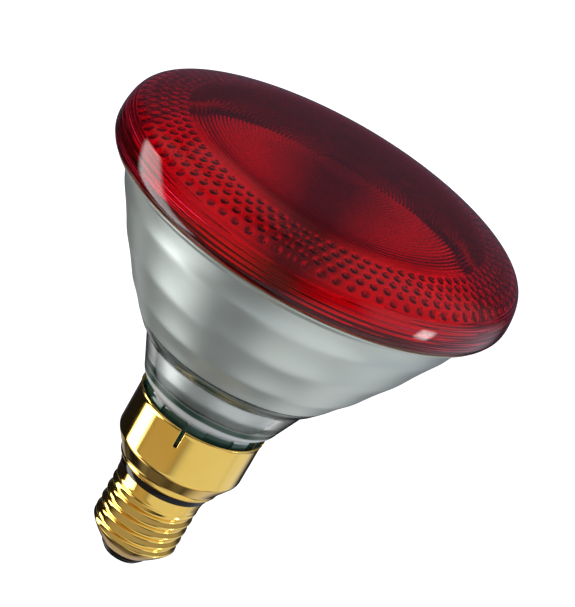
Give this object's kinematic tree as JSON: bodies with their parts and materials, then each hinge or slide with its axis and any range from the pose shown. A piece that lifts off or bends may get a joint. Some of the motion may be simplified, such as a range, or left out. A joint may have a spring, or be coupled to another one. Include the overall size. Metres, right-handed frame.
{
  "type": "infrared heat lamp",
  "caption": "Ruby-fronted pressed-glass infrared reflector heat lamp with a skirted E27 screw cap, for brooding poultry and warming small livestock.",
  "frame": {"origin": "centre of the centre contact's flat outer face, at the tip of the screw cap", "axes": "+Z along the lamp's axis from the cap to the front lens; +X along the line of the two lead posts; -Y is the side whose rim slot faces the viewer"},
  "size_m": [0.121, 0.121, 0.136],
  "materials": {
    "ruby_glass": "polished front, pressed rings and dots behind",
    "rim_sealant": "thin tan bead",
    "lamp_glass": "satin bowl, glossy neck, mirrored behind",
    "aluminium_film": "evaporated aluminium",
    "tungsten": "drawn wire",
    "support_wire": "drawn wire",
    "bead_glass": "fire polished",
    "nickel": "drawn",
    "brass": "polished",
    "black_glass": "glossy black vitrified glass",
    "solder": "dull tin",
    "tinned_copper": "drawn wire"
  },
  "bodies": {
    "root": {"lens": "ruby_glass", "rim_seal": "rim_sealant", "reflector": "lamp_glass", "mirror_coating": "aluminium_film", "filament": "tungsten", "filament_support": "support_wire", "bridge_bead": "bead_glass", "lead_post_left": "nickel", "lead_post_right": "nickel", "ferrule_left": "nickel", "ferrule_right": "nickel", "braze_left": "solder", "braze_right": "solder", "exhaust_tip": "bead_glass", "skirt": "brass", "insulating_ring": "black_glass", "screw_shell": "brass", "base_insulator": "black_glass", "centre_contact": "brass", "contact_solder": "solder", "shell_lead": "tinned_copper", "contact_lead": "tinned_copper", "shell_solder": "solder"}
  },
  "joints": []
}
